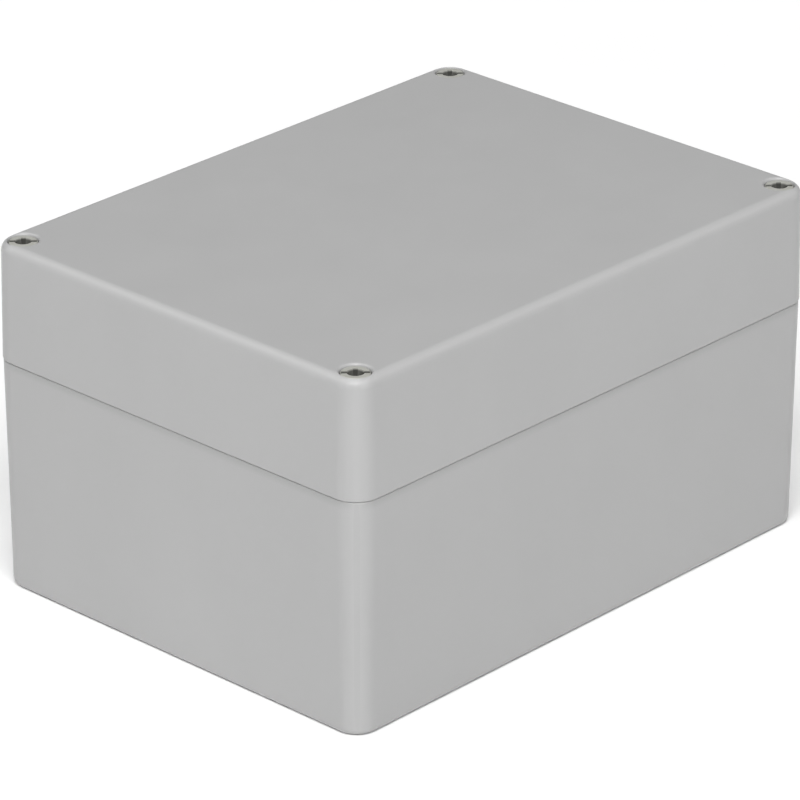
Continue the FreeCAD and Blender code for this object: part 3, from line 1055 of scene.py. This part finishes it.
@dataclass
class LidScrews(CornerParts):
    """Machine screws with a round head, a slot and a cross recess."""

    body: str = "screw_{}"
    slot: str = "stainless_steel"
    node: str = "lid_screw_{}"
    top: float = 89.6  # Height of the head's face
    seat: float = 87.03  # Height of the head's underside, just clear of the lid
    tip: float = 52.0  # Height of the lower end
    head_radius: float = 3.5
    head_round: float = 0.35
    round_steps: int = 5  # Steps in the rim's round
    head_edge: float = 0.15  # Chamfer of the head's lower edge
    neck_chamfer: float = 0.2  # Chamfer between the head and the shank
    shank_radius: float = 2.0
    thread_length: float = 22.0
    pitch: float = 0.7  # Rise of the thread in one turn
    root_radius: float = 1.62  # Radius at the bottom of the thread
    core_radius: float = 1.45  # Radius of the blank inside the thread
    tip_chamfer: float = 0.3
    slot_width: float = 1.2
    slot_depth: float = 1.1
    slot_round: float = 0.12  # Round of the slot's lower edges
    cross_width: float = 1.3  # Width of the cross's arms at the face
    cross_span: float = 4.2  # Length across the cross
    cross_depth: float = 1.8
    cross_draft: float = 0.22  # How far each wall of the cross leans in over its depth
    cone_top: float = 2.1  # Radius of the recess's middle at the face
    cone_tip: float = 0.9  # Radius of the recess's middle at its lower end
    slot_angle: float = -45.0  # How far the slot turns from X, in degrees

    def blank(self) -> Piece:
        """Turn the head and the plain shank.

        Returns:
            The solid before its recess and thread.
        """
        neck = self.tip + self.thread_length
        turns = [QUARTER_TURN * step / self.round_steps for step in range(self.round_steps + 1)]
        profile = [(self.head_radius - self.head_round * (1 - math.sin(turn)),
                    self.top - self.head_round * (1 - math.cos(turn))) for turn in turns]
        profile += [(self.head_radius, self.seat + self.head_edge), (self.head_radius - self.head_edge, self.seat),
                    (self.shank_radius + self.neck_chamfer, self.seat),
                    (self.shank_radius, self.seat - self.neck_chamfer),
                    (self.shank_radius, neck), (self.core_radius, neck - 0.35), (self.core_radius, self.tip + 0.5)]
        return turned("lid_screw_model", profile, 72)

    def arm(self, turn: float) -> Piece:
        """Model what one stroke of the cross takes away.

        Args:
            turn: How far the stroke turns from X, in radians.

        Returns:
            A bar whose walls lean in with depth.
        """
        bar = primitive("cross_stroke", bpy.ops.mesh.primitive_cube_add, size=1.0,
                        location=(0, 0, (self.top - self.cross_depth / 2) * MM),
                        scale=Vector((self.cross_span, self.cross_width, self.cross_depth)) * MM)
        low = (self.top - self.cross_depth) * MM
        with editing(bar):
            pick(bar, Mode.FACES, lambda at, normal: normal.z < -FACING)
            lean = [(size - 2 * self.cross_draft) / size for size in (self.cross_span, self.cross_width)]
            bpy.ops.transform.resize(value=(*lean, 1), center_override=(0, 0, low))
            pick(bar, Mode.FACES, lambda at, normal: normal.z > FACING)
            bpy.ops.transform.translate(value=(0, 0, OVERSHOOT * MM))
        settle(bar, turn=turn)
        return bar

    def slot_bar(self) -> Piece:
        """Model what the slot takes away.

        Returns:
            A bar across the head.
        """
        bar = primitive("slot_bar", bpy.ops.mesh.primitive_cube_add, size=1.0,
                        location=(0, 0, (self.top + (OVERSHOOT - self.slot_depth) / 2) * MM),
                        scale=Vector((self.head_radius * 3, self.slot_width, self.slot_depth + OVERSHOOT)) * MM)
        with editing(bar):
            pick(bar, Mode.EDGES, lambda at, way: at.z < self.top * MM and abs(way.x) > FACING)
            bpy.ops.mesh.bevel(offset=self.slot_round * MM, segments=2, affect="EDGES")
        return bar

    def model(self) -> Piece:
        """Build one screw on the Z axis."""
        piece = self.blank()
        for turn in (0.0, QUARTER_TURN):
            combine(piece, self.arm(turn))
        combine(piece, self.slot_bar())
        cone = turned("recess_cone", [(self.cone_top, self.top + 0.2), (self.cone_top, self.top),
                                      (self.cone_tip, self.top - self.cross_depth - 0.15)], 24)
        combine(piece, cone)
        thread = Thread(self.root_radius, self.shank_radius, self.pitch, self.tip + self.tip_chamfer,
                        self.tip + self.thread_length - 0.1, chamfer=self.tip_chamfer)
        combine(piece, thread.build("shank_thread"), Cut.JOIN)
        settle(piece, turn=math.radians(self.slot_angle))
        smooth(piece, 35)
        return piece

    def finish(self, corner: Corner) -> TurnedMetal:
        """Choose the steel for one corner."""
        place = self.place(corner)
        return ScrewSteel(f"screw_steel_{corner.tag}", grey(0.47, 0.07), grey(0.42, 0.1), roughness=0.5, feed=0.09,
                          axis=(place.x, place.y), metallic=0.25, face=self.top)


@dataclass
class Inserts(CornerParts):
    """Brass inserts with two knurled bands and a thread inside."""

    body: str = "base"
    slot: str = "brass"
    node: str = "insert_{}"
    top: float = 59.8  # Height of the upper face
    length: float = 8.5
    radius: float = 2.8  # Radius over the knurls
    waist: float = 0.4  # How far the plain parts lie below the knurls
    band: float = 2.6  # Length of each knurled band with its collar
    knurl_depth: float = 0.16
    teeth: int = 30  # Knurls round a band
    bore: float = 2.05  # Radius inside the thread
    thread_depth: float = 0.22
    pitch: float = 0.7  # Rise of the thread in one turn

    def knurl(self, piece: Piece, low: float, high: float, twist: float) -> None:
        """Cut one band into slanted teeth.

        Args:
            piece: The turned blank.
            low: Height of the band's lower end.
            high: Height of its upper end.
            twist: How far the upper end turns, in radians.
        """
        middle = (low + high) / 2 * MM
        with editing(piece):
            pick(piece, Mode.VERTS, lambda at, normal: abs(at.z - high * MM) < WELD and at.xy.length > 2.6 * MM)
            bpy.ops.transform.rotate(value=twist, orient_axis="Z", center_override=(0, 0, high * MM))
            pick(piece, Mode.FACES, lambda at, normal: abs(at.z - middle) < 0.1 * MM and abs(normal.z) < 0.2)
            bpy.ops.mesh.inset(use_individual=True, thickness=0.13 * MM, depth=self.knurl_depth * MM)

    def model(self) -> Piece:
        """Build one insert on the Z axis."""
        low = self.top - self.length
        neck = self.radius - self.waist
        base = self.radius - self.knurl_depth
        edge = 0.3
        lower, upper = low + self.band, self.top - self.band
        piece = turned("brass_insert_model",
                       [(base - edge, self.top), (base, self.top - edge), (base, upper + edge), (neck, upper),
                        (neck, lower), (base, lower - edge), (base, low + edge), (base - edge, low)], self.teeth)
        tooth = FULL_TURN / self.teeth
        self.knurl(piece, upper + edge, self.top - edge, tooth * 0.8)
        self.knurl(piece, low + edge, lower - edge, -tooth * 0.8)
        hole = Thread(self.bore, self.bore + self.thread_depth, self.pitch, low - 1.4, self.top + 1.4)
        combine(piece, hole.build("insert_thread"))
        funnel = turned("lead_in", [(self.bore + 0.45, self.top + 0.1), (self.bore - 0.1, self.top - 0.45)],
                        Thread.segments)
        combine(piece, funnel)
        smooth(piece, 30)
        return piece

    def finish(self, corner: Corner) -> TurnedMetal:
        """Choose the brass for one corner."""
        place = self.place(corner)
        return TurnedMetal(f"insert_brass_{corner.tag}", (0.78, 0.57, 0.27, 1.0), (0.62, 0.42, 0.18, 1.0),
                           roughness=0.3, feed=0.07, axis=(place.x, place.y))


@dataclass
class RetainingRings(CornerParts):
    """Rubber rings that keep the undone screws in the lid."""

    body: str = "ring_{}"
    slot: str = "ring_rubber"
    node: str = "retaining_ring_{}"
    low: float = 60.3
    section: float = 1.5  # Thickness of the ring
    inner: float = 2.05  # Radius of its hole
    flash: float = 0.03  # How far the mould's parting line stands out
    sides: int = 20  # Faces round the section
    steps: int = 56  # Faces round the ring

    def model(self) -> Piece:
        """Build one ring on the Z axis."""
        half = self.section / 2
        middle = Vector((self.inner + half, 0, self.low + half)) * MM
        piece = primitive("rubber_ring_model", bpy.ops.mesh.primitive_circle_add, vertices=self.sides,
                          radius=(half - self.flash) * MM, location=middle, rotation=(QUARTER_TURN, 0, 0))
        with editing(piece):
            for way in (-1, 1):
                pick(piece, Mode.VERTS, lambda at, normal: (at.x - middle.x) * way > (half - 2 * self.flash) * MM)
                bpy.ops.transform.translate(value=(way * self.flash * MM, 0, 0))
            select_all()
            bpy.ops.mesh.spin(steps=self.steps, angle=FULL_TURN, center=(0, 0, middle.z), axis=(0, 0, 1))
        tidy_normals(piece)
        smooth(piece, 40)
        return piece

    def finish(self, corner: Corner) -> Rubber:
        """Choose the rubber, which is the same in every corner."""
        return RING_BLACK


# The studio


@dataclass
class PhotoCamera:
    """The camera of the reference photograph."""

    focal_pixels: float = 5257.4  # Focal length in pixels of the square picture
    distance: float = 1270.458  # Distance from the box's middle
    yaw: float = 46.803  # Turn round the box from straight ahead, in degrees
    pitch: float = 24.967  # Height above the horizon, in degrees
    shift_right: float = -1.395  # How far the camera stands to its own right
    shift_up: float = -4.143  # How far the camera stands upwards
    aim_height: float = 45.0  # Height of the box's middle
    sensor: float = 36.0

    def build(self) -> None:
        """Stand the camera and make it the scene's own."""
        back = direction(-90 - self.yaw, self.pitch)
        right = (-back).cross(Vector((0, 0, 1))).normalized()
        up = right.cross(-back)
        place = Vector((0, 0, self.aim_height)) + back * self.distance + right * self.shift_right + up * self.shift_up
        lens = bpy.data.cameras.new("photo_camera")
        lens.sensor_width = self.sensor
        lens.lens = self.focal_pixels / IMAGE_SIDE * self.sensor
        lens.clip_start, lens.clip_end = 0.05, 20.0
        turn = Matrix((right, up, back)).transposed().to_4x4()
        camera = stand("photo_camera", lens, Matrix.Translation(place * MM) @ turn)
        bpy.context.scene.camera = camera
        LOG.info("camera at %s", tuple(round(value, 3) for value in camera.location))


@dataclass(frozen=True)
class SoftBox:
    """One large, soft lamp that looks at the box."""

    name: str
    azimuth: float  # Direction to the lamp over the floor, from X, in degrees
    elevation: float  # Its height above the horizon, in degrees
    level: float  # How bright it makes a white card that faces it
    distance: float = 3.5  # How far away it stands, in metres
    size: float = 1.5  # Its side, in metres

    def build(self) -> None:
        """Hang the lamp."""
        lamp = bpy.data.lights.new(self.name, "AREA")
        lamp.shape, lamp.size = "SQUARE", self.size
        lamp.energy = self.level * (math.pi * self.distance) ** 2
        way = direction(self.azimuth, self.elevation)
        place = Vector((0, 0, PhotoCamera.aim_height * MM)) + way * self.distance
        turn = way.to_track_quat("Z", "Y").to_matrix().to_4x4()
        stand(self.name, lamp, Matrix.Translation(place) @ turn).visible_camera = False


@dataclass
class Studio:
    """A pale floor, an even sky and soft lamps."""

    floor_size: float = 8.0  # Side of the floor, in metres
    sky: float = 0.03  # Strength of the even light from all round
    backdrop: float = 0.9  # Brightness of the studio's far wall, where it is seen
    lamps: tuple[SoftBox, ...] = field(default_factory=lambda: (
        SoftBox("left_key", 210.0, 50.0, 0.6),
        SoftBox("front_key", 240.0, 50.0, 0.47),
        SoftBox("right_softbox", 330.0, 20.0, 0.055),
        SoftBox("left_back_softbox", 120.0, 50.0, 0.13),
        SoftBox("top_softbox", 0.0, 90.0, 0.27),
    ))

    def floor(self) -> Piece:
        """Lay the floor."""
        floor = primitive("pale_floor", bpy.ops.mesh.primitive_plane_add, size=self.floor_size)
        with editing(floor):
            bpy.ops.mesh.subdivide(number_cuts=7)
        dress(floor, PaleFloor("pale_floor"))
        return floor

    def build(self) -> None:
        """Set up the floor, the sky and the lamps."""
        self.floor()
        world = bpy.data.worlds.new("even_sky")
        world.use_nodes = True
        nodes = Nodes(world.node_tree)
        background = world.node_tree.nodes["Background"]
        background.inputs["Color"].default_value = grey(1.0)
        seen = nodes.add("LightPath").outputs["Is Camera Ray"]
        nodes.feed(background.inputs["Strength"], nodes.remap(seen, 0.0, 1.0, self.sky, self.backdrop))
        bpy.context.scene.world = world
        for lamp in self.lamps:
            lamp.build()
        bpy.context.scene.view_settings.view_transform = "Standard"
        LOG.info("studio has %d lamps", len(self.lamps))


def main() -> None:
    """Build the camera, the studio and each sub-assembly in order."""
    logging.basicConfig(level=logging.INFO, format="%(name)s: %(message)s")
    PhotoCamera().build()
    Studio().build()
    for assembly in (Base(), Lid(), Seal(), LidScrews(), Inserts(), RetainingRings()):
        for handed in assembly.build():
            handed.place()


if __name__ == "__main__":
    main()
